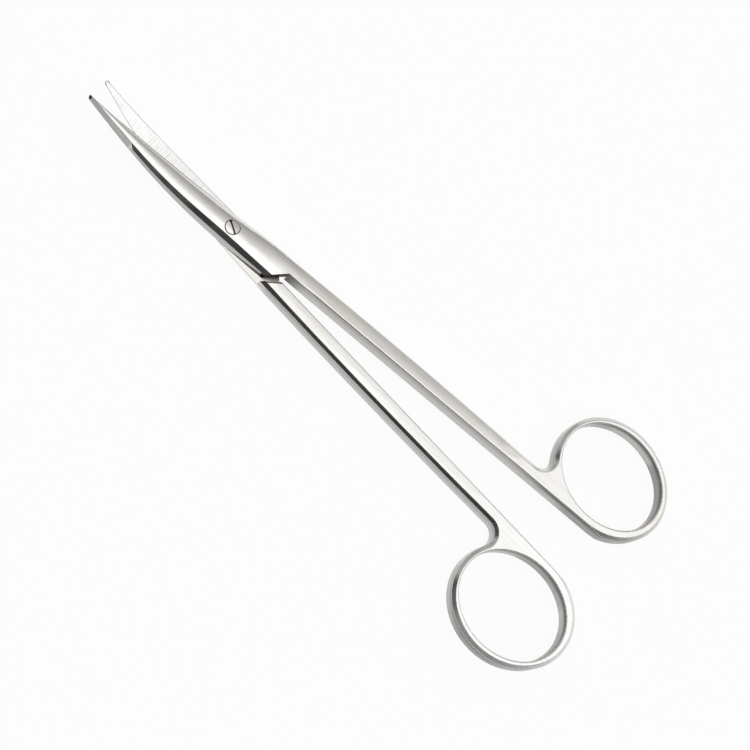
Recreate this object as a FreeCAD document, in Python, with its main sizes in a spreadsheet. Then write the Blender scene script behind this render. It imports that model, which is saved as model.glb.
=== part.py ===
"""Curved dissecting scissors with finger rings, 150 mm long, lying flat with the blades curving up.

The pivot axis stands on the origin and points up, +X runs to the blade tips, and the underside of
the handles lies in the plane Z = 0. Each half is drawn closed, with its inner face on the middle
plane, and is then turned about the pivot to the opening that the scissors are shown at.
"""
import FreeCAD, Part
import math
import os

import Sketcher

V = FreeCAD.Vector

# Every driving dimension: name, millimetres or degrees, and what it is.
SIZES = (
    ("open_angle", 7.1, "angle between the two halves as they lie, degrees"),
    ("face_gap", 0.3, "ground inner face of a closed half to the middle plane"),
    ("face_grind", 0.6, "how much was ground off the rounded forging to make that face"),
    ("meeting_height", 2.1, "table to the surface on which the halves slide"),
    ("meeting_gap", 0.05, "play between the two sliding surfaces"),
    ("bend_start", 3.5, "pivot axis to where the blades begin to curve up"),
    ("bend_radius", 100.0, "radius of that curve"),
    ("blade_length", 39.0, "pivot axis to the blade tip"),
    ("tip_width", 0.8, "width of a blade at its rounded tip"),
    ("tip_shift", 0.15, "how far the tip lies off the blade's middle line, towards the spine"),
    ("tip_thickness", 0.8, "thickness of a blade at its tip"),
    ("taper_reach", 30.0, "pivot axis to the slender part of the blade"),
    ("taper_width", 2.85, "width of a blade there"),
    ("taper_thickness", 1.45, "thickness of a blade there"),
    ("belly_reach", 14.0, "pivot axis to the widest part of the cutting length"),
    ("belly_width", 5.75, "width of a blade there"),
    ("belly_thickness", 2.05, "thickness of a blade there"),
    ("joint_width", 6.95, "width of a half at the pivot"),
    ("joint_thickness", 2.5, "thickness of a half at the pivot"),
    ("shoulder_reach", 10.0, "pivot axis to the broad end of the joint"),
    ("shoulder_width", 7.3, "width of a half there"),
    ("edge_thickness", 0.1, "height of the ground cutting edge"),
    ("side_slope", 20.0, "lean of the lower side facet of the spine, degrees"),
    ("side_share", 0.52, "top of that facet, as a share of the thickness"),
    ("bevel_slope", 48.0, "lean of the upper side facet of the spine, degrees"),
    ("bevel_share", 0.89, "top of the upper side facet, as a share of the thickness"),
    ("crest_lift", 1.18, "how full the crown is over its crest, as a share of the thickness"),
    ("flank_lift", 0.78, "how full the crown is over its flank, as a share of the thickness"),
    ("shoulder_flank_lift", 0.92, "the same at the broad end of the joint"),
    ("step_flank_lift", 1.1, "the same where the joint runs into the shank"),
    ("tip_facet_reach", 25.8, "pivot axis to the flat that was ground on the spine towards the tip"),
    ("tip_facet_run", 1.0, "length over which that flat reaches its full depth"),
    ("tip_facet_slope", 34.0, "lean of that flat, degrees"),
    ("tip_facet_depth", 0.155, "what it took off the ridge of the spine, as a share of the thickness"),
    ("step_reach", 15.5, "pivot axis to the step from joint to handle, on the inner face"),
    ("jog_reach", 14.9, "pivot axis to the notch that clears the other half's step"),
    ("shank_width", 3.55, "middle plane to the shank's outer side, where the shank begins"),
    ("shank_middle_width", 3.75, "the same half way along the shank"),
    ("shank_end_width", 3.25, "the same where the shank runs into the ring's web"),
    ("handle_thickness", 4.1, "thickness of shank, web and ring"),
    ("blend_reach", 28.0, "pivot axis to where the joint has sunk into the shank"),
    ("lower_crown", 0.17, "fall of the lower half's shank top from its crest to its outer side"),
    ("lower_crest", 1.775, "middle plane to that crest"),
    ("upper_crown", 0.68, "fall of the upper half's shank top from its crest to its outer side"),
    ("upper_crest", 0.35, "middle plane to that crest"),
    ("step_crown", 0.8, "fall of the upper half's top beside the step to its joint"),
    ("step_crest", 0.62, "middle plane to the crest there"),
    ("shank_bevel", 0.85, "bevel along the outer top edge of the shank and ring"),
    ("shank_under_bevel", 0.4, "bevel along the outer bottom edge"),
    ("ring_reach", 97.2, "pivot axis to the ring's centre"),
    ("ring_end_bar", 1.6, "thickness of the ring's bar at its two ends"),
    ("ring_side_bar", 2.0, "the same at its sides, before one of them was ground flat"),
    ("ring_tilt", 12.0, "turn of the ring's outline, degrees"),
    ("hole_forward", 0.3, "how far the finger hole's centre lies nearer the pivot than the ring's"),
    ("hole_shift", 0.3, "how far the finger hole's centre lies further out than the ring's"),
    ("hole_length", 25.5, "length of the finger hole"),
    ("hole_width", 21.4, "width of the finger hole"),
    ("hole_tilt", 6.5, "turn of the finger hole, degrees"),
    ("hole_bevel", 0.25, "bevel along the finger hole's two edges"),
    ("crotch_radius", 3.0, "fillet between the shank and the ring's outer side"),
    ("screw_head_diameter", 3.2, "screw head"),
    ("screw_shaft_diameter", 2.4, "smooth part that the upper half turns on"),
    ("screw_end_diameter", 1.6, "part that is held in the lower half"),
    ("head_seat_depth", 1.1, "crest of the joint to the seat under the screw head"),
    ("turning_gap", 0.03, "play between the screw's smooth part and its bore"),
    ("head_gap", 0.06, "play round the screw head"),
    ("slot_width", 0.35, "screwdriver slot"),
    ("slot_depth", 0.4, "screwdriver slot"),
    ("slot_turn", -34.0, "turn of the slot from the line of the blades, degrees"),
)

doc = FreeCAD.newDocument("dissecting_scissors")
sheet = doc.addObject("Spreadsheet::Sheet", "sizes")
for row, (alias, value, meaning) in enumerate(SIZES, 1):
    sheet.set("A%d" % row, meaning)
    sheet.set("B%d" % row, str(value))
    sheet.setAlias("B%d" % row, alias)
doc.recompute()


def size(alias):
    """A driving dimension, read from the sheet."""
    return float(sheet.get(alias))


# Construction lengths that only have to clear the solid: below the sliding surface, above and
# beside a blade, and past its tip.
BELOW = 1.2
BEYOND = 3.0
PAST_TIP = 0.3


def origin_plane(body, role):
    """One of the body's own origin planes."""
    return next(plane for plane in body.Origin.OriginFeatures if plane.Role == role)


def new_sketch(body, name, role, geometry):
    """A sketch on one of the body's origin planes, holding the given edges."""
    sketch = body.newObject("Sketcher::SketchObject", name)
    sketch.AttachmentSupport = [(origin_plane(body, role), "")]
    sketch.MapMode = "FlatFace"
    sketch.addGeometry(geometry, False)
    return sketch


def closed_lines(points):
    """The straight sides of a closed outline, in a sketch's own plane."""
    corners = [V(a, b, 0) for a, b in points]
    return [Part.LineSegment(p, q) for p, q in zip(corners, corners[1:] + corners[:1])]


def blade_rise(reach):
    """How far the sliding surface has curved up at this distance from the pivot axis."""
    past = max(0.0, reach - size("bend_start"))
    radius = size("bend_radius")
    return radius - math.sqrt(radius ** 2 - past ** 2)


def section_points(width, thickness, edge, flank="flank_lift"):
    """One cross-section of a half, seen along the blade: across, and out from the sliding surface.

    It starts under the spine, goes up the steep side facet and the bevel, and from there over the
    crown, which is a curve with the last four points before the end as its poles, to the edge.
    """
    half = width / 2
    side_top = size("side_share") * thickness
    bevel_top = size("bevel_share") * thickness
    side_run = side_top * math.tan(math.radians(size("side_slope")))
    bevel_run = (bevel_top - side_top) * math.tan(math.radians(size("bevel_slope")))
    bevel_end = min(-half + side_run + bevel_run, -0.12 * width)
    return [
        (-half, -BELOW),
        (-half, 0.0),
        (-half + side_run, side_top),
        (bevel_end, bevel_top),
        (0.05 * half, size("crest_lift") * thickness),
        (0.75 * half, size(flank) * thickness),
        (half, edge),
        (half, -BELOW),
    ]


def section_edges(points):
    """The edges of a cross-section: straight ones and the crown's curve."""
    corners = [V(a, b, 0) for a, b in points]
    crown = Part.BSplineCurve()
    crown.buildFromPoles(corners[3:7], False, 3)
    straight = [(0, 1), (1, 2), (2, 3), (6, 7), (7, 0)]
    lines = [Part.LineSegment(corners[i], corners[k]) for i, k in straight]
    return lines[:3] + [crown] + lines[3:]


def blade_stations():
    """Where the cross-sections stand along a half, and their shapes, from handle to tip."""
    edge = size("edge_thickness")
    handle_top = size("handle_thickness") - size("meeting_height")
    sunk = handle_top - size("upper_crown")
    joint = size("joint_thickness")
    shoulder = 0.5 * (joint + handle_top)
    return (
        (-size("blend_reach"),
         section_points(2 * size("shank_width") - 0.02, sunk, sunk - size("shank_bevel"))),
        (-size("step_reach"), section_points(2 * size("shank_width"), handle_top,
                                             handle_top - size("shank_bevel"), "step_flank_lift")),
        (-size("shoulder_reach"),
         section_points(size("shoulder_width"), shoulder, 0.5 * shoulder, "shoulder_flank_lift")),
        (0.0, section_points(size("joint_width"), joint, 0.16 * joint)),
        (size("belly_reach"), section_points(size("belly_width"), size("belly_thickness"), edge)),
        (size("taper_reach"), section_points(size("taper_width"), size("taper_thickness"), edge)),
        (size("blade_length") + PAST_TIP, tip_section(edge)),
    )


def tip_section(edge):
    """The cross-section at the tip, which lies nearer the spine's side."""
    points = section_points(size("tip_width"), size("tip_thickness"), edge)
    return [(across - size("tip_shift"), out) for across, out in points]


def tip_facet(body, name, hand, side):
    """The narrow flat ground along the spine near the tip, cut away as a loft beside the ridge."""
    lean = math.tan(math.radians(size("tip_facet_slope")))
    first = size("tip_facet_reach")
    tip_reach = size("blade_length") + PAST_TIP
    ridge = section_points(size("taper_width"), size("taper_thickness"), 0)[2]
    tip_ridge = tip_section(0)[2]
    full = first + size("tip_facet_run")
    last = tip_reach + 1
    sections = []
    for number, (reach, fullness) in enumerate((
            (first - 0.5 * size("tip_facet_run"), -0.5), (full, 1),
            (full + (last - full) / 3, 1), (last - (last - full) / 3, 1), (last, 1))):
        share = (reach - size("taper_reach")) / (tip_reach - size("taper_reach"))
        thickness = size("taper_thickness") * (1 - share) + size("tip_thickness") * share
        depth = fullness * size("tip_facet_depth") * thickness
        across = ridge[0] + (tip_ridge[0] - ridge[0]) * share + depth
        out = ridge[1] + (tip_ridge[1] - ridge[1]) * share
        foot = (across - lean * (out + BELOW), -BELOW)
        head = (across + lean * (BEYOND - out), BEYOND)
        outside = across - BEYOND
        level = size("meeting_height") + blade_rise(reach)
        placed = [(hand * a, level - side * b)
                  for a, b in (foot, head, (outside, BEYOND), (outside, -BELOW))]
        sketch = new_sketch(body, "%s_facet_%d" % (name, number), "YZ_Plane", closed_lines(placed))
        sketch.AttachmentOffset = FreeCAD.Placement(V(0, 0, reach), FreeCAD.Rotation())
        sections.append(sketch)
    cut = body.newObject("PartDesign::SubtractiveLoft", name + "_tip_facet")
    cut.Profile = sections[0]
    cut.Sections = sections[1:]
    cut.Ruled = True
    doc.recompute()


def meeting_profile(side):
    """What lies beyond the sliding surface in front of the pivot, as an outline to turn about its axis."""
    start = size("bend_start")
    reach = size("blade_length") + 4
    base = size("meeting_height") - side * size("meeting_gap") / 2
    far = base + side * 30
    middle = 0.5 * (start + reach)
    end_point = V(reach, base + blade_rise(reach), 0)
    return [
        Part.LineSegment(V(0, base, 0), V(start, base, 0)),
        Part.Arc(V(start, base, 0), V(middle, base + blade_rise(middle), 0), end_point),
        Part.LineSegment(end_point, V(reach, far, 0)),
        Part.LineSegment(V(reach, far, 0), V(0, far, 0)),
        Part.LineSegment(V(0, far, 0), V(0, base, 0)),
    ]


def blade_body(name, hand, side):
    """The joint plate and blade of one half, lofted and then cut to the sliding surface.

    hand is the side that the ring is on, +1 for +Y; side is where the other half lies, +1 above.
    """
    body = doc.addObject("PartDesign::Body", name)
    sections = []
    for number, (reach, points) in enumerate(blade_stations()):
        level = size("meeting_height") + (blade_rise(reach) if reach > 0 else 0.0)
        placed = [(hand * across, level - side * out) for across, out in points]
        sketch = new_sketch(body, "%s_section_%d" % (name, number), "YZ_Plane", section_edges(placed))
        sketch.AttachmentOffset = FreeCAD.Placement(V(0, 0, reach), FreeCAD.Rotation())
        sections.append(sketch)
    loft = body.newObject("PartDesign::AdditiveLoft", name + "_loft")
    loft.Profile = sections[0]
    loft.Sections = sections[1:]
    loft.Ruled = False
    doc.recompute()

    cut = body.newObject("PartDesign::Groove", name + "_sliding_face")
    cut.Profile = new_sketch(body, name + "_sliding_outline", "XZ_Plane", meeting_profile(side))
    cut.ReferenceAxis = (cut.Profile[0], ["V_Axis"])
    cut.Angle = 180
    cut.Midplane = True
    doc.recompute()

    base = size("meeting_height") - side * size("meeting_gap") / 2
    rear = -2 * size("blend_reach")
    behind = body.newObject("PartDesign::Pocket", name + "_flat_face")
    behind.Profile = new_sketch(body, name + "_flat_outline", "XZ_Plane", closed_lines(
        [(rear, base), (0, base), (0, base + side * 30), (rear, base + side * 30)]))
    behind.Type = "ThroughAll"
    behind.Midplane = True
    doc.recompute()

    gap = size("face_gap")
    jog = size("jog_reach")
    beyond = size("shoulder_width")
    notch = [(-jog - gap, hand * gap), (-jog + beyond, -hand * beyond),
             (-3 * jog, -hand * beyond), (-3 * jog, hand * gap)]
    through(body, name + "_notch", closed_lines(notch))

    length = size("blade_length")
    tip = size("tip_width") / 2
    middle = -hand * size("tip_shift")
    start = length - tip
    far = length + BEYOND
    nose = [
        Part.Arc(V(start, middle - tip, 0), V(length, middle, 0), V(start, middle + tip, 0)),
        Part.LineSegment(V(start, middle + tip, 0), V(start, BEYOND, 0)),
        Part.LineSegment(V(start, BEYOND, 0), V(far, BEYOND, 0)),
        Part.LineSegment(V(far, BEYOND, 0), V(far, -BEYOND, 0)),
        Part.LineSegment(V(far, -BEYOND, 0), V(start, -BEYOND, 0)),
        Part.LineSegment(V(start, -BEYOND, 0), V(start, middle - tip, 0)),
    ]
    through(body, name + "_nose", nose)
    tip_facet(body, name, hand, side)
    return body


def through(body, name, geometry):
    """A cut right through the body, up and down from the table plane."""
    cut = body.newObject("PartDesign::Pocket", name)
    cut.Profile = new_sketch(body, name + "_outline", "XY_Plane", geometry)
    cut.Type = "ThroughAll"
    cut.Midplane = True
    doc.recompute()
    return cut


def ellipse_point(centre, long_half, short_half, tilt, turn):
    """A point of a tilted ellipse at this turn of its own parameter."""
    a = long_half * math.cos(turn)
    b = short_half * math.sin(turn)
    return V(centre.x + a * math.cos(tilt) - b * math.sin(tilt),
             centre.y + a * math.sin(tilt) + b * math.cos(tilt), 0)


def ellipse_normal(long_half, short_half, tilt, turn):
    """The outward direction of the same ellipse at that point."""
    a = short_half * math.cos(turn)
    b = long_half * math.sin(turn)
    out = V(a * math.cos(tilt) - b * math.sin(tilt), a * math.sin(tilt) + b * math.cos(tilt), 0)
    return out.normalize()


def handle_body(name, hand):
    """Shank, web and finger ring of one half: a bevelled forging whose inner face is ground flat."""
    face = size("face_gap")
    raw_face = face - size("face_grind")
    width = size("shank_width")
    end_width = size("shank_end_width")
    step = size("step_reach")
    long_half = size("hole_length") / 2 + size("ring_end_bar")
    short_half = size("hole_width") / 2 + size("ring_side_bar")
    tilt = math.radians(size("ring_tilt"))
    drop = math.hypot(long_half * math.sin(tilt), short_half * math.cos(tilt))
    centre = V(-size("ring_reach"), raw_face + drop, 0)
    lowest = math.atan2(-short_half * math.cos(tilt), -long_half * math.sin(tilt))

    # The crotch fillet touches the shank's outer side and the ring between its side and its front.
    fillet = size("crotch_radius")
    low, high = lowest, 0.0
    for _ in range(60):
        turn = 0.5 * (low + high)
        rim = ellipse_point(centre, long_half, short_half, tilt, turn)
        out = ellipse_normal(long_half, short_half, tilt, turn)
        if rim.y + fillet * out.y > end_width + fillet:
            high = turn
        else:
            low = turn
    hub = rim + out * fillet
    shank_start = V(-step + width, width, 0)
    shank_end = V(hub.x, end_width, 0)
    shank_middle = V(0.5 * (shank_start.x + shank_end.x), size("shank_middle_width"), 0)
    bottom = hub + (V(0, -1, 0) - out).normalize() * fillet

    def flip(point):
        return V(point.x, hand * point.y, 0)

    side_point = ellipse_point(centre, long_half, short_half, tilt, lowest)
    ring = Part.Ellipse(flip(ellipse_point(centre, long_half, short_half, tilt, 0)),
                        flip(ellipse_point(centre, long_half, short_half, tilt, hand * math.pi / 2)),
                        flip(centre))
    ends = [ring.parameter(flip(rim)), ring.parameter(flip(side_point))][::hand]
    ring_arc = Part.ArcOfEllipse(ring, ends[0], ends[1] + (2 * math.pi if ends[1] < ends[0] else 0))
    outline = [
        Part.LineSegment(flip(V(-step + raw_face, raw_face, 0)), flip(shank_start)),
        Part.Arc(flip(shank_start), flip(shank_middle), flip(shank_end)),
        Part.Arc(flip(shank_end), flip(bottom), flip(rim)),
        ring_arc,
        Part.LineSegment(flip(side_point), flip(V(-step + raw_face, raw_face, 0))),
    ]
    body = doc.addObject("PartDesign::Body", name)
    pad = body.newObject("PartDesign::Pad", name + "_pad")
    pad.Profile = new_sketch(body, name + "_outline", "XY_Plane", outline)
    pad.setExpression("Length", "sizes.handle_thickness")
    doc.recompute()
    for label, level, edge_size in (("top_bevel", size("handle_thickness"), "shank_bevel"),
                                    ("under_bevel", 0.0, "shank_under_bevel")):
        rim_edges = [edge for edge in level_edges(body.Tip.Shape, level) if not on_step(edge, hand)]
        bevel = edge_feature(body, "PartDesign::Chamfer", name + "_" + label, rim_edges)
        bevel.setExpression("Size", "sizes." + edge_size)
        doc.recompute()

    shank_crown(body, name, hand)

    beyond = 2 * short_half
    through(body, name + "_ground_face", closed_lines(
        [(-200, hand * face), (-200, -hand * beyond), (0, -hand * beyond), (0, hand * face)]))

    hole_centre = V(centre.x + size("hole_forward"), centre.y + size("hole_shift"), 0)
    hole_tilt = math.radians(size("hole_tilt"))
    hole_long = size("hole_length") / 2
    hole_short = size("hole_width") / 2
    hole = Part.Ellipse(
        flip(ellipse_point(hole_centre, hole_long, hole_short, hole_tilt, 0)),
        flip(ellipse_point(hole_centre, hole_long, hole_short, hole_tilt, hand * math.pi / 2)),
        flip(hole_centre))
    through(body, name + "_finger_hole", [hole])
    hole_edges = [edge for level in (0.0, size("handle_thickness"))
                  for edge in level_edges(body.Tip.Shape, level) if edge[1].isClosed()]
    bevel = edge_feature(body, "PartDesign::Chamfer", name + "_hole_bevel", hole_edges)
    bevel.setExpression("Size", "sizes.hole_bevel")
    doc.recompute()
    return body


def shank_crown(body, name, hand):
    """Grinds the shank's top round across, down towards its outer side and not at all at the ring.

    The upper half falls off more, and most beside the step, where its joint runs into the shank.
    """
    top = size("handle_thickness")
    step = size("step_reach")
    end = size("ring_reach") - 0.7 * size("hole_length")
    fade = 2 * size("shank_width")
    outer = 1.125 * size("shank_width")
    half_name = "lower" if hand > 0 else "upper"
    crest, fall = size(half_name + "_crest"), size(half_name + "_crown")
    step_crest, step_fall = crest, fall
    if hand < 0:
        step_crest, step_fall = size("step_crest"), size("step_crown")
    skim = 0.1 * size("lower_crown")
    sections = []
    for number, (reach, across, drop, level) in enumerate((
            (0.8 * step, step_crest, step_fall, top - skim), (step, step_crest, step_fall, top - skim),
            (size("blend_reach"), crest, fall, top - skim), (end - fade, crest, fall, top - skim),
            (end, crest, skim, top + 2 * skim), (end + 2, crest, skim, top + 4 * skim))):
        points = [(2 * across - outer, level - drop), (across, level + drop), (outer, level - drop)]
        poles = [V(hand * a, height, 0) for a, height in points]
        arch = Part.BSplineCurve()
        arch.buildFromPoles(poles, False, 2)
        sky = top + BEYOND
        first, last = poles[0], poles[2]
        edges = [arch, Part.LineSegment(last, V(last.x, sky, 0)),
                 Part.LineSegment(V(last.x, sky, 0), V(first.x, sky, 0)),
                 Part.LineSegment(V(first.x, sky, 0), first)]
        sketch = new_sketch(body, "%s_crown_%d" % (name, number), "YZ_Plane", edges)
        sketch.AttachmentOffset = FreeCAD.Placement(V(0, 0, -reach), FreeCAD.Rotation())
        sections.append(sketch)
    cut = body.newObject("PartDesign::SubtractiveLoft", name + "_crown")
    cut.Profile = sections[0]
    cut.Sections = sections[1:]
    cut.Ruled = True
    doc.recompute()


def level_edges(shape, level):
    """The numbered edges of a shape that lie flat at this height."""
    flat = []
    for number, edge in enumerate(shape.Edges, 1):
        if abs(edge.BoundBox.ZMin - level) < 1e-4 and abs(edge.BoundBox.ZMax - level) < 1e-4:
            flat.append((number, edge))
    return flat


def on_step(numbered_edge, hand):
    """Whether an edge lies along the slanted step between joint and handle."""
    ends = [vertex.Point for vertex in numbered_edge[1].Vertexes]
    return all(abs(p.x + size("step_reach") - hand * p.y) < 1e-3 for p in ends)


def edge_feature(body, kind, name, numbered_edges):
    """A bevel or rounding on these edges of the body as it stands."""
    base = body.Tip
    feature = body.newObject(kind, name)
    feature.Base = (base, ["Edge%d" % number for number, _ in numbered_edges])
    body.Tip = feature
    return feature


def round_cut(body, name, diameter, base, upward):
    """A round cut about the pivot axis, from this height up, or right through if base is None."""
    cut = body.newObject("PartDesign::Pocket", name)
    sketch = new_sketch(body, name + "_circle", "XY_Plane", [Part.Circle(V(0, 0, 0), V(0, 0, 1), 1.0)])
    sketch.addConstraint(Sketcher.Constraint("Coincident", 0, 3, -1, 1))
    number = sketch.addConstraint(Sketcher.Constraint("Diameter", 0, 2.0))
    sketch.setExpression("Constraints[%d]" % number, diameter)
    cut.Profile = sketch
    cut.Type = "ThroughAll"
    if base is None:
        cut.Midplane = True
    else:
        sketch.setExpression("AttachmentOffset.Base.z", base)
        cut.Reversed = upward
    doc.recompute()
    return cut


SEAT = "sizes.meeting_height + sizes.joint_thickness - sizes.head_seat_depth"


def lower_half():
    """The half that carries the screw: its blade is the rear one, its ring is on the +Y side."""
    blade = blade_body("lower_blade", 1, 1)
    under = blade.newObject("PartDesign::Pocket", "lower_blade_under")
    far = size("blend_reach") + size("blade_length")
    under.Profile = new_sketch(blade, "lower_blade_under_outline", "XY_Plane",
                               closed_lines([(-far, -9), (far, -9), (far, 9), (-far, 9)]))
    under.Type = "ThroughAll"
    doc.recompute()
    round_cut(blade, "lower_bore", "sizes.screw_end_diameter", None, True)
    return blade, handle_body("lower_handle", 1)


def upper_half():
    """The half that turns on the screw: its blade lies in front, its ring is on the -Y side."""
    blade = blade_body("upper_blade", -1, -1)
    round_cut(blade, "upper_bore", "sizes.screw_shaft_diameter + 2 * sizes.turning_gap", None, True)
    round_cut(blade, "head_seat", "sizes.screw_head_diameter + 2 * sizes.head_gap", SEAT, True)
    return blade, handle_body("upper_handle", -1)


def joined(name, parts, turn):
    """Blade and handle of a half as the one forging that they are, turned about the pivot."""
    half = doc.addObject("Part::MultiFuse", name)
    half.Shapes = list(parts)
    half.Refine = True
    half.Label = name
    half.setExpression("Placement.Rotation.Angle", turn)
    doc.recompute()
    return half


def pivot_screw():
    """The slotted screw: held in the lower half, smooth in the upper, its head ground to the crest."""
    body = doc.addObject("PartDesign::Body", "pivot_screw")
    body.Label = "pivot_screw"
    shelf = size("meeting_height") - size("meeting_gap") / 2
    seat = size("meeting_height") + size("joint_thickness") - size("head_seat_depth")
    seat_gap = size("meeting_gap")
    top = size("meeting_height") + size("joint_thickness") + 1
    end = size("screw_end_diameter") / 2
    shaft = size("screw_shaft_diameter") / 2
    head = size("screw_head_diameter") / 2
    outline = [(0, 0), (end, 0), (end, shelf), (shaft, shelf), (shaft, seat + seat_gap),
               (head, seat + seat_gap), (head, top), (0, top)]
    turned = body.newObject("PartDesign::Revolution", "screw_turned")
    turned.Profile = new_sketch(body, "screw_outline", "XZ_Plane", closed_lines(outline))
    turned.ReferenceAxis = (turned.Profile[0], ["V_Axis"])
    turned.Angle = 360
    doc.recompute()

    # The head was ground flush with the joint, so its top has the joint's own cross-section.
    joint = size("joint_thickness")
    section = section_points(size("joint_width"), joint, 0.16 * joint)
    skyline = section_edges([(-across, size("meeting_height") + out) for across, out in section])[2:4]
    ridge, edge = skyline[0].StartPoint, skyline[1].EndPoint
    sky = top + 2
    above = skyline + [Part.LineSegment(edge, V(edge.x, sky, 0)),
                       Part.LineSegment(V(edge.x, sky, 0), V(ridge.x, sky, 0)),
                       Part.LineSegment(V(ridge.x, sky, 0), ridge)]
    flush = body.newObject("PartDesign::Pocket", "head_flush")
    flush.Profile = new_sketch(body, "head_flush_outline", "YZ_Plane", above)
    flush.Type = "ThroughAll"
    flush.Midplane = True
    doc.recompute()

    slot = body.newObject("PartDesign::Pocket", "head_slot")
    half = size("slot_width") / 2
    reach = size("screw_head_diameter")
    turn = FreeCAD.Rotation(V(0, 0, 1), size("slot_turn"))
    corners = [turn.multVec(V(a, b, 0)) for a, b in
               ((-reach, -half), (reach, -half), (reach, half), (-reach, half))]
    sketch = new_sketch(body, "head_slot_outline", "XY_Plane", closed_lines([(p.x, p.y) for p in corners]))
    sketch.setExpression("AttachmentOffset.Base.z",
                         "sizes.meeting_height + sizes.joint_thickness - sizes.slot_depth")
    slot.Profile = sketch
    slot.Type = "ThroughAll"
    slot.Reversed = True
    body.setExpression("Placement.Rotation.Angle", "sizes.open_angle / 2")
    doc.recompute()
    return body


NODES = [
    joined("lower_half", lower_half(), "-sizes.open_angle / 2"),
    joined("upper_half", upper_half(), "sizes.open_angle / 2"),
    pivot_screw(),
]
doc.recompute()

for item in doc.Objects:
    if "Invalid" in item.State or "Error" in item.State:
        raise RuntimeError("%s did not build: %s" % (item.Name, item.State))
for node in NODES:
    if node.Shape.isNull() or not node.Shape.isValid() or len(node.Shape.Solids) != 1:
        raise RuntimeError("%s is not one valid solid" % node.Label)

os.makedirs("parts", exist_ok=True)
for node in NODES:
    node.Shape.exportStep("parts/%s.step" % node.Label)
    print("%s %.1f mm3" % (node.Label, node.Shape.Volume))
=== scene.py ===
import bmesh
import bpy
import math
from mathutils import Matrix, Vector
from types import SimpleNamespace

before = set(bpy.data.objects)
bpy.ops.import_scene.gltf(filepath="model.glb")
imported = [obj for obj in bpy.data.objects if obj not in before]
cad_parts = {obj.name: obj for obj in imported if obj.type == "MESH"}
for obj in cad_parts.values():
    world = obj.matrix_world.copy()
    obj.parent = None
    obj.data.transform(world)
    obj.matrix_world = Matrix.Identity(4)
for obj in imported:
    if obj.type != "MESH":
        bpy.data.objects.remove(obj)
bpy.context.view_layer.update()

# The two halves. Each is one stainless steel forging, ground to a curved blade, a joint plate and a
# shank with a finger ring. The tops are brushed along the piece, the sliding faces across it, the
# bevels are smoother, and the walls were only tumbled; their darker grey is painted shade. Every
# edge is a little eased.
lower_top = (0.8, 0.797, 0.788)
# The upper half's tops are painted a little darker than the lower half's: painted shade.
shaded_upper_top = (0.77, 0.765, 0.75)
# The walls' grey is the tops' steel painted darker: painted shade.
shaded_wall_grey = (0.45, 0.44, 0.425)
sliding_face_start = -0.0149


def plug(socket, value):
    """Sets a socket to a value, or links another node's socket into it."""
    if isinstance(value, bpy.types.NodeSocket):
        socket.id_data.links.new(value, socket)
    else:
        socket.default_value = value


def node_at(nodes, kind, **inputs):
    """A shader node with its inputs set or linked; a key is the input's name with _ for spaces."""
    node = nodes.new(kind)
    for name, value in inputs.items():
        plug(node.inputs[name.replace("_", " ")], value)
    return node


def maths(nodes, operation, *values):
    """Values put together by a plain operation, such as ADD."""
    node = nodes.new("ShaderNodeMath")
    node.operation = operation
    for socket, value in zip(node.inputs, values):
        plug(socket, value)
    return node.outputs[0]


def both(nodes, first, second):
    """How far two shares hold at once, which is their product."""
    return maths(nodes, "MULTIPLY", first, second)


def measured(nodes, operation, *vectors):
    """A number taken from vectors, such as the DISTANCE between two places."""
    node = nodes.new("ShaderNodeVectorMath")
    node.operation = operation
    for socket, vector in zip(node.inputs, vectors):
        plug(socket, vector)
    return node.outputs["Value"]


def fade(nodes, value, start, end, at_start=0.0, at_end=1.0):
    """Goes softly from at_start to at_end while the value goes from start to end. The finishes keep
    these two or four numbers together under one name."""
    node = node_at(nodes, "ShaderNodeMapRange", Value=value, From_Min=start, From_Max=end,
                   To_Min=at_start, To_Max=at_end)
    node.interpolation_type = "SMOOTHSTEP"
    return node.outputs[0]


def band(nodes, value, low_end, low, high, high_end):
    """1 while the value is from low to high, fading to 0 at the two ends: four numbers, one name."""
    return both(nodes, fade(nodes, value, low_end, low), fade(nodes, value, high_end, high))


def mixed(nodes, share, first, second, kind="RGBA", blend="MIX", clamp=True):
    """The first turning into the second by a share: colours, or numbers with kind FLOAT."""
    node = nodes.new("ShaderNodeMix")
    node.data_type = kind
    node.blend_type = blend
    node.clamp_factor = clamp
    inputs = [socket for socket in node.inputs if socket.enabled]
    for socket, value in zip(inputs, (share, first, second)):
        plug(socket, value)
    return [socket for socket in node.outputs if socket.enabled][0]


def shade(colour, level):
    """A colour at this level of its brightness, as the four numbers that a socket takes."""
    return (*[part * level for part in colour], 1)


def ramp_of(nodes, factor, *stops):
    """A colour ramp with these (place, colour) stops."""
    ramp = node_at(nodes, "ShaderNodeValToRGB", Fac=factor)
    elements = ramp.color_ramp.elements
    while len(elements) < len(stops):
        elements.new(0.5)
    for element, (place, colour) in zip(elements, stops):
        element.position = place
        element.color = colour
    return ramp.outputs["Color"]


def clouded(nodes, place, scale, detail):
    """Soft patches, with this many to the metre."""
    return node_at(nodes, "ShaderNodeTexNoise", Vector=place, Scale=scale, Detail=detail).outputs["Fac"]


def grain(nodes, place, lines, detail=2.0):
    """Fine lines: patches drawn out, with this many to the metre along, across and up."""
    drawn_out = node_at(nodes, "ShaderNodeMapping", Vector=place, Scale=lines)
    return clouded(nodes, drawn_out.outputs[0], 1.0, detail)


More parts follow.
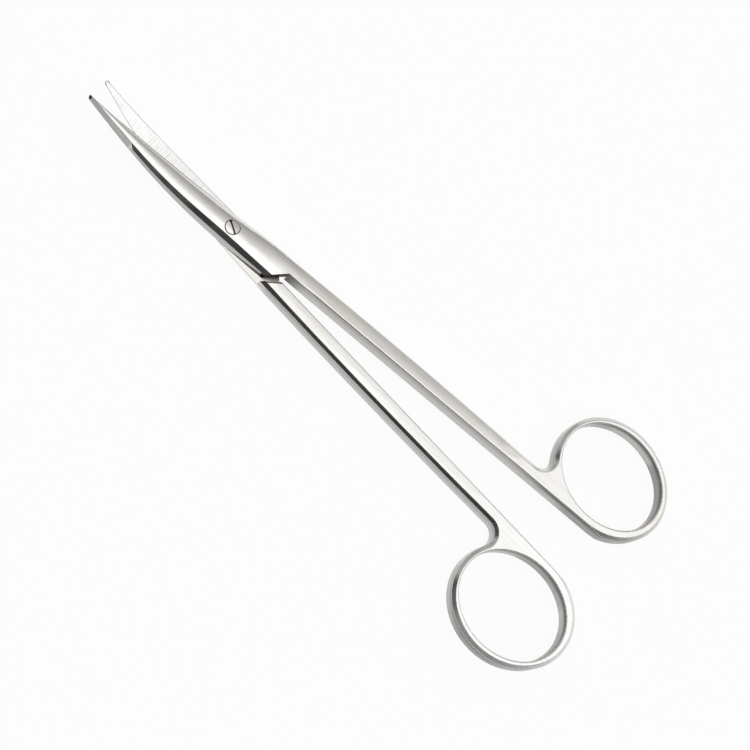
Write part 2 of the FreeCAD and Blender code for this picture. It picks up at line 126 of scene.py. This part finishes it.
def guides(nodes, face_side, face_start):
    """What the finishes are laid out by. Reach runs from the pivot axis towards the tips and height
    from the table, both in metres. face_side is where the sliding face looks, +1 for up."""
    face_slope = (0.8, 0.9)
    face_fade = 0.0001
    across_step = (0.662, -0.7495 * face_side, 0)
    spot = node_at(nodes, "ShaderNodeTexCoord")
    place = spot.outputs["Object"]
    parts = node_at(nodes, "ShaderNodeSeparateXYZ", Vector=place).outputs
    way = node_at(nodes, "ShaderNodeSeparateXYZ", Vector=spot.outputs["Normal"]).outputs
    face_way = fade(nodes, maths(nodes, "MULTIPLY", way["Z"], face_side), *face_slope)
    past_start = fade(nodes, parts["X"], face_start, face_start + face_fade)
    return SimpleNamespace(
        place=place, reach=parts["X"], height=parts["Z"], forwards=way["X"],
        outwards=maths(nodes, "MULTIPLY", way["Y"], face_side),
        inwards=maths(nodes, "MULTIPLY", way["Y"], -face_side),
        levelness=maths(nodes, "ABSOLUTE", way["Z"]),
        face_way=face_way, on_face=both(nodes, face_way, past_start),
        past_step=measured(nodes, "DOT_PRODUCT", place, across_step))


def brushed_tops(nodes, at, along, top_colour):
    """The tops' colour: fine brushing with longer streaks in it."""
    streak_lines = (50, 2600, 2600)
    streak_share = 0.5
    dark_brushing = 0.92
    pale_brushing = 1.03
    streaks = grain(nodes, at.place, streak_lines, detail=3.0)
    brushing = mixed(nodes, streak_share, along, streaks, kind="FLOAT")
    return ramp_of(nodes, brushing, (0.36, shade(top_colour, dark_brushing)),
                   (0.6, shade(top_colour, pale_brushing)))


def shaded_walls(nodes, at, upright, top_colour, shaded_wall_colour):
    """The walls' colour: upright tumbling marks in a grey that is painted shade, with more painted shade
    towards the top edge, most of all in the rings, where it lies in patches. The outer side of the joint
    plate is painted in the tops' lighter colour as painted light."""
    ring_begins = (-0.09, -0.076)
    ring_top_shade = (0.0018, 0.0038, 1.05, 0.15)
    shank_top_shade = (0.001, 0.0037, 1.15, 0.72)
    shade_patches = (0.42, 0.62, 1.1, 0.72)
    plate_reach = (-0.0145, -0.0115, -0.002, 0.0)
    plate_slope = (0.6, 0.8)
    plate_shade = 0.92
    patch_count = 110.0
    darkest_top_shade = 0.05
    dark_tumbling = 0.93
    pale_tumbling = 1.05
    tumbled = ramp_of(nodes, upright, (0.3, shade(shaded_wall_colour, dark_tumbling)),
                      (0.7, shade(shaded_wall_colour, pale_tumbling)))
    patches = clouded(nodes, at.place, patch_count, detail=2.0)
    # Painted shade: darker towards the top edge, in patches in the rings.
    in_ring = both(nodes, fade(nodes, at.height, *ring_top_shade), fade(nodes, patches, *shade_patches))
    on_shank = fade(nodes, at.height, *shank_top_shade)
    top_shade = mixed(nodes, fade(nodes, at.reach, *ring_begins), in_ring, on_shank, kind="FLOAT")
    walls = mixed(nodes, top_shade, shade(shaded_wall_colour, darkest_top_shade), tumbled, clamp=False)
    # Painted light: the joint plate's outer side takes the tops' lighter colour.
    plate_side = both(nodes, fade(nodes, at.outwards, *plate_slope), band(nodes, at.reach, *plate_reach))
    return mixed(nodes, plate_side, walls, shade(top_colour, plate_shade))


def wheeled_faces(nodes, at, wheel, top_colour):
    """The sliding faces' colour: wheel marks across the blade, none left behind the pivot, where the
    halves rub, and painted shade in brown on the ledge before the step."""
    rubbed_colour = (0.83, 0.82, 0.785, 1)
    rubbed_ends = (-0.004, -0.002)
    ledge_shade_colour = (0.32, 0.285, 0.24, 1)
    ledge_reach = (-0.0113, -0.0139)
    ledge_edge = (-0.01115, -0.01105)
    deep_mark = 0.78
    fine_mark = 0.94
    between_marks = 1.02
    marked = ramp_of(nodes, wheel, (0.3, shade(top_colour, deep_mark)),
                     (0.48, shade(top_colour, fine_mark)), (0.7, shade(top_colour, between_marks)))
    rubbed = mixed(nodes, fade(nodes, at.reach, *rubbed_ends), rubbed_colour, marked)
    # Painted shade on the ledge before the step.
    ledge = both(nodes, fade(nodes, at.reach, *ledge_reach), fade(nodes, at.past_step, *ledge_edge))
    return mixed(nodes, ledge, rubbed, ledge_shade_colour)


def with_step_edge(nodes, at, colour):
    """The colour with painted shade as a thin dark line on the edge of the step."""
    step_shade_colour = (0.1, 0.085, 0.07, 1)
    step_edge = (-0.0115, -0.01135, -0.01115, -0.01105)
    # Painted shade along the step's edge.
    step = both(nodes, band(nodes, at.past_step, *step_edge), at.face_way)
    return mixed(nodes, step, colour, step_shade_colour)


def with_stains(nodes, at, colour):
    """The colour with the faint warm stains that hands and polish left on the handles."""
    stain_colour = (0.96, 0.92, 0.87, 1)
    stain_count = 90.0
    stain_patches = (0.5, 0.7, 0.0, 0.4)
    handle_reach = (0.0, -0.03)
    patches = clouded(nodes, at.place, stain_count, detail=3.0)
    stains = both(nodes, fade(nodes, patches, *stain_patches), fade(nodes, at.reach, *handle_reach))
    return mixed(nodes, stains, colour, stain_colour, blend="MULTIPLY")


def notch_of(nodes, at):
    """Where the notch behind the joint is, on its wall that looks back."""
    notch_slope = (-0.3, -0.5)
    notch_reach = (-0.0205, -0.02, -0.011, -0.0105)
    return both(nodes, fade(nodes, at.forwards, *notch_slope), band(nodes, at.reach, *notch_reach))


def with_shaded_spots(nodes, at, clouds, notch, colour):
    """The colour with painted shade: dark brown on the notch's wall, near black on the start of the
    shank's inner wall beside it, and near black on the blunt end of the tips."""
    darkest_notch_shade = (0.01, 0.008, 0.006, 1)
    palest_notch_shade = (0.06, 0.045, 0.035, 1)
    inner_shade_colour = (0.03, 0.025, 0.02, 1)
    inner_slope = (0.75, 0.9)
    inner_reach = (-0.021, -0.0145, -0.011, -0.0105)
    tip_shade_colour = (0.03, 0.028, 0.026, 1)
    tip_slope = (0.8, 0.7)
    tip_reach = (0.0381, 0.0385)
    # Painted shade on the notch's wall, in dark browns.
    brown = ramp_of(nodes, clouds, (0.4, darkest_notch_shade), (0.6, palest_notch_shade))
    colour = mixed(nodes, notch, colour, brown)
    # Painted shade on the start of the shank's inner wall.
    inner = both(nodes, fade(nodes, at.inwards, *inner_slope), band(nodes, at.reach, *inner_reach))
    colour = mixed(nodes, inner, colour, inner_shade_colour)
    # Painted shade on the blunt end of the tips.
    tip = both(nodes, fade(nodes, at.levelness, *tip_slope), fade(nodes, at.reach, *tip_reach))
    return mixed(nodes, tip, colour, tip_shade_colour)


def screw_dark_marks(nodes, at, clouds):
    """Where painted shade darkens the gap round the screw head and its slot, and where a near-black blot
    lies beside the slot's end. The slot is a line through the axis, square to across_slot."""
    over_joint = (0.003, 0.0032)
    gap_radius = (0.0015, 0.00158, 0.0017, 0.00178)
    gap_patches = (0.36, 0.52, 0.45, 1.0)
    slot_end = (0.0017, 0.0016)
    slot_width = (0.00022, 0.00016)
    across_slot = (0.559, 0.829, 0)
    blot_place = (0.00115, -0.00075, 0.0044)
    blot_radius = (0.00042, 0.00028)
    flattened = node_at(nodes, "ShaderNodeMapping", Vector=at.place, Scale=(1, 1, 0))
    from_axis = measured(nodes, "LENGTH", flattened.outputs[0])
    above = fade(nodes, at.height, *over_joint)
    gap = both(nodes, band(nodes, from_axis, *gap_radius), fade(nodes, clouds, *gap_patches))
    from_slot = maths(nodes, "ABSOLUTE", measured(nodes, "DOT_PRODUCT", at.place, across_slot))
    slot = both(nodes, fade(nodes, from_axis, *slot_end), fade(nodes, from_slot, *slot_width))
    from_blot = measured(nodes, "DISTANCE", at.place, blot_place)
    return both(nodes, gap, above), both(nodes, slot, above), fade(nodes, from_blot, *blot_radius)


def with_corner_shade(nodes, colour):
    """The colour with painted shade, in brown, in the corners."""
    corner_shade_colour = (0.07, 0.052, 0.035, 1)
    corner_depth = 0.0005
    open_air = (0.35, 0.85)
    # Painted shade: occlusion darkens the corners.
    corners = node_at(nodes, "ShaderNodeAmbientOcclusion", Distance=corner_depth)
    corners.samples = 8
    corners.only_local = True
    return mixed(nodes, fade(nodes, corners.outputs["AO"], *open_air), corner_shade_colour, colour)


def with_edge_shade(nodes, at, colour):
    """The colour with painted shade as fine dark lines along the blades' edges."""
    edge_shade_colour = (0.06, 0.055, 0.05, 1)
    edge_radius = 0.0002
    edge_turn = (0.992, 0.94, 0.0, 0.75)
    blade_begins = (0.001, 0.003)
    rounded = node_at(nodes, "ShaderNodeBevel", Radius=edge_radius)
    rounded.samples = 8
    flat_way = node_at(nodes, "ShaderNodeNewGeometry").outputs["Normal"]
    turn = measured(nodes, "DOT_PRODUCT", rounded.outputs[0], flat_way)
    # Painted shade along the blades' edges.
    edges = both(nodes, fade(nodes, turn, *edge_turn), fade(nodes, at.reach, *blade_begins))
    return mixed(nodes, edges, colour, edge_shade_colour)


def smoothness_of(nodes, at, clouds):
    """The roughness: bevels are smoother than flats on blade and shank, and satin in the rings."""
    flat_slope = (0.8, 0.97)
    ring_begins = (-0.09, -0.08)
    shank_bevel = 0.15
    shank_flat = 0.24
    ring_bevel = 0.36
    ring_flat = 0.22
    uneven = (0.3, 0.7, -0.03, 0.05)
    on_flat = fade(nodes, at.levelness, *flat_slope)
    shank = mixed(nodes, on_flat, shank_bevel, shank_flat, kind="FLOAT")
    ring = mixed(nodes, on_flat, ring_bevel, ring_flat, kind="FLOAT")
    whole = mixed(nodes, fade(nodes, at.reach, *ring_begins), ring, shank, kind="FLOAT")
    return maths(nodes, "ADD", whole, fade(nodes, clouds, *uneven))


def eased_edges(nodes, at):
    """The normal of a surface whose edges are a little eased, the least on the blades."""
    blade_ease = 0.00008
    handle_ease = 0.0004
    tip_ease = 0.0004
    joint_begins = (-0.022, -0.012)
    tip_begins = (0.0375, 0.0385)
    ease = mixed(nodes, fade(nodes, at.reach, *joint_begins), handle_ease, blade_ease, kind="FLOAT")
    ease = mixed(nodes, fade(nodes, at.reach, *tip_begins), ease, tip_ease, kind="FLOAT")
    eased = node_at(nodes, "ShaderNodeBevel", Radius=ease)
    eased.samples = 10
    return eased.outputs[0]


def ground_steel(name, top_colour, shaded_wall_colour, face_side, face_start):
    """The steel of a half, or of the screw that was ground with it."""
    top_slope = (0.2, 0.6)
    # The gap's and the slot's colours are painted shade.
    gap_shade_colour = (0.045, 0.036, 0.028, 1)
    slot_shade_colour = (0.09, 0.078, 0.066, 1)
    blot_colour = (0.006, 0.005, 0.005, 1)
    cloud_count = 170.0
    brush_lines = (300, 8000, 8000)
    tumble_lines = (6500, 6500, 700)
    wheel_lines = (3600, 330, 330)
    painted_shade_roughness = 0.65
    mark_depth = 0.00002
    mark_strength = 0.15
    material = bpy.data.materials.new(name)
    material.use_nodes = True
    nodes = material.node_tree.nodes
    nodes.clear()
    at = guides(nodes, face_side, face_start)
    on_top = fade(nodes, at.levelness, *top_slope)
    notch = notch_of(nodes, at)
    clouds = clouded(nodes, at.place, cloud_count, detail=4.0)
    gap, slot, blot = screw_dark_marks(nodes, at, clouds)

    # Brushing along the tops, upright tumbling marks on the walls, wheel marks across the faces.
    along = grain(nodes, at.place, brush_lines)
    upright = grain(nodes, at.place, tumble_lines)
    wheel = grain(nodes, at.place, wheel_lines, detail=5.0)
    marks = mixed(nodes, on_top, upright, along, kind="FLOAT")
    marks = mixed(nodes, at.on_face, marks, wheel, kind="FLOAT")

    colour = mixed(nodes, on_top, shaded_walls(nodes, at, upright, top_colour, shaded_wall_colour),
                   brushed_tops(nodes, at, along, top_colour))
    colour = mixed(nodes, at.on_face, colour, wheeled_faces(nodes, at, wheel, top_colour))
    colour = with_step_edge(nodes, at, colour)
    colour = with_stains(nodes, at, colour)
    colour = with_shaded_spots(nodes, at, clouds, notch, colour)
    # Painted shade in the screw's gap and slot, and the near-black blot.
    for dark_mark, dark_mark_colour in ((gap, gap_shade_colour), (slot, slot_shade_colour), (blot, blot_colour)):
        colour = mixed(nodes, dark_mark, colour, dark_mark_colour)
    colour = with_corner_shade(nodes, colour)
    colour = with_edge_shade(nodes, at, colour)

    # The painted shade on the notch, in the gap and in the slot is dull, and no metal shows through it.
    dull = maths(nodes, "MAXIMUM", notch, maths(nodes, "MAXIMUM", gap, slot))
    roughness = mixed(nodes, dull, smoothness_of(nodes, at, clouds), painted_shade_roughness, kind="FLOAT")
    bump = node_at(nodes, "ShaderNodeBump", Height=marks, Strength=mark_strength,
                   Distance=mark_depth, Normal=eased_edges(nodes, at))
    steel = node_at(nodes, "ShaderNodeBsdfPrincipled", Base_Color=colour, Roughness=roughness,
                    Metallic=maths(nodes, "SUBTRACT", 1.0, dull), Normal=bump.outputs[0])
    node_at(nodes, "ShaderNodeOutputMaterial", Surface=steel.outputs[0])
    return material


def dress(node, steel):
    """Gives a CAD node its steel."""
    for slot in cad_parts[node].material_slots:
        slot.material = steel


dress("lower_half", ground_steel("lower_half_steel", lower_top, shaded_wall_grey, 1.0, sliding_face_start))
dress("upper_half", ground_steel("upper_half_steel", shaded_upper_top, shaded_wall_grey, -1.0, sliding_face_start))

# The pivot screw. It is turned from stainless steel, held in the lower half, and its slotted head
# is ground off flush with the joint, so it has the joint's brushing, with painted shade in slot and
# gap. It has no sliding face, so that begins beyond the screw.
screw_top = (0.74, 0.735, 0.72)
# The screw's walls, down in its seat, are painted dark grey: painted shade.
shaded_screw_wall = (0.16, 0.15, 0.14)
no_sliding_face = 1.0
dress("pivot_screw", ground_steel("screw_steel_ground", screw_top, shaded_screw_wall, -1.0, no_sliding_face))

# The table. A matt white board, larger than anything that the camera or the steel sees of it. It is
# bright enough to show as white, and still takes the scissors' own shadow.
table_half = 2.0
board_colour = (0.93, 0.93, 0.93, 1)
board_roughness = 0.9
glow_colour = (1, 1, 1, 1)
glow_share = 0.92
board_mesh = bpy.data.meshes.new("table_board")
board = bmesh.new()
board.faces.new([board.verts.new((x, y, 0)) for x, y in
                 ((-table_half, -table_half), (table_half, -table_half), (table_half, table_half),
                  (-table_half, table_half))])
board.to_mesh(board_mesh)
board.free()
table = bpy.data.objects.new("table_board", board_mesh)
bpy.context.scene.collection.objects.link(table)
white_board = bpy.data.materials.new("white_board")
white_board.use_nodes = True
nodes = white_board.node_tree.nodes
nodes.clear()
seen = node_at(nodes, "ShaderNodeLightPath").outputs
seen_or_mirrored = maths(nodes, "MAXIMUM", seen["Is Camera Ray"], seen["Is Glossy Ray"])
any_seen = maths(nodes, "MAXIMUM", seen_or_mirrored, seen["Is Transmission Ray"])
matt = node_at(nodes, "ShaderNodeBsdfPrincipled", Base_Color=board_colour, Roughness=board_roughness)
glow = node_at(nodes, "ShaderNodeEmission", Color=glow_colour, Strength=1.0)
glowing = nodes.new("ShaderNodeMixShader")
for socket, value in zip(glowing.inputs, (maths(nodes, "MULTIPLY", any_seen, glow_share),
                                          matt.outputs[0], glow.outputs[0])):
    plug(socket, value)
node_at(nodes, "ShaderNodeOutputMaterial", Surface=glowing.outputs[0])
board_mesh.materials.append(white_board)

# The light tent: white cloth over the table, open on the camera's side, where the dark room shows as
# the dark line that runs along the bevels. Behind the scissors the cloth falls off towards the table,
# and a soft lamp over the handles' end is what the rising blades show.
white_cloth = (1.0, 1.0, 1.0)
warm_cloth = (1.0, 0.975, 0.935)
open_side = (-0.12, 0.2)
lamp_direction = (-0.55, -0.4, 0.733)
lamp_edge = (0.875, 0.955)
lamp_colour = (0.95, 0.95, 0.95, 1)
tent_strength = 1.4
world = bpy.data.worlds.new("light_tent")
bpy.context.scene.world = world
world.use_nodes = True
nodes = world.node_tree.nodes
nodes.clear()
way = node_at(nodes, "ShaderNodeTexCoord").outputs["Generated"]
parts = node_at(nodes, "ShaderNodeSeparateXYZ", Vector=way).outputs
front = ramp_of(nodes, parts["Z"], (0.0, shade(white_cloth, 0.33)), (0.16, shade(white_cloth, 0.25)),
                (0.25, shade(white_cloth, 0.03)), (0.58, shade(white_cloth, 0.03)),
                (0.76, shade(white_cloth, 0.9)), (1.0, shade(white_cloth, 1.0)))
rear = ramp_of(nodes, parts["Z"], (0.0, shade(warm_cloth, 0.27)), (0.45, shade(warm_cloth, 0.38)),
               (0.62, shade(warm_cloth, 0.44)), (0.84, shade(warm_cloth, 0.58)),
               (0.9, shade(warm_cloth, 0.69)), (0.925, shade(white_cloth, 0.86)),
               (0.97, shade(white_cloth, 1.0)))
cloth = mixed(nodes, fade(nodes, parts["Y"], *open_side), rear, front)
lamp = fade(nodes, measured(nodes, "DOT_PRODUCT", way, lamp_direction), *lamp_edge)
light = node_at(nodes, "ShaderNodeBackground", Color=mixed(nodes, lamp, cloth, lamp_colour),
                Strength=tent_strength)
node_at(nodes, "ShaderNodeOutputWorld", Surface=light.outputs[0])
bpy.context.scene.view_settings.view_transform = "Standard"

# The camera stands over the +Y side of the table, high up, and is turned so that the blades point to
# the upper left corner of the picture. It aims beside the middle of the shanks.
azimuth = math.radians(79.539)
elevation = math.radians(66.202)
roll = math.radians(52.797)
distance = 0.350
aim = Vector((-0.050, 0, 0.0041))
slide_right = -0.00671
slide_up = 0.003536
focal_length = 80.017
sensor_width = 36
back = Vector((math.cos(elevation) * math.cos(azimuth), math.cos(elevation) * math.sin(azimuth),
               math.sin(elevation)))
level_right = Vector((-math.sin(azimuth), math.cos(azimuth), 0))
level_up = back.cross(level_right)
right = level_right * math.cos(roll) + level_up * math.sin(roll)
up = back.cross(right)
lens = bpy.data.cameras.new("product_camera")
lens.lens = focal_length
lens.sensor_width = sensor_width
camera = bpy.data.objects.new("product_camera", lens)
bpy.context.scene.collection.objects.link(camera)
camera.matrix_world = (Matrix.Translation(aim + back * distance + right * slide_right + up * slide_up)
                       @ Matrix((right, up, back)).transposed().to_4x4())
bpy.context.scene.camera = camera
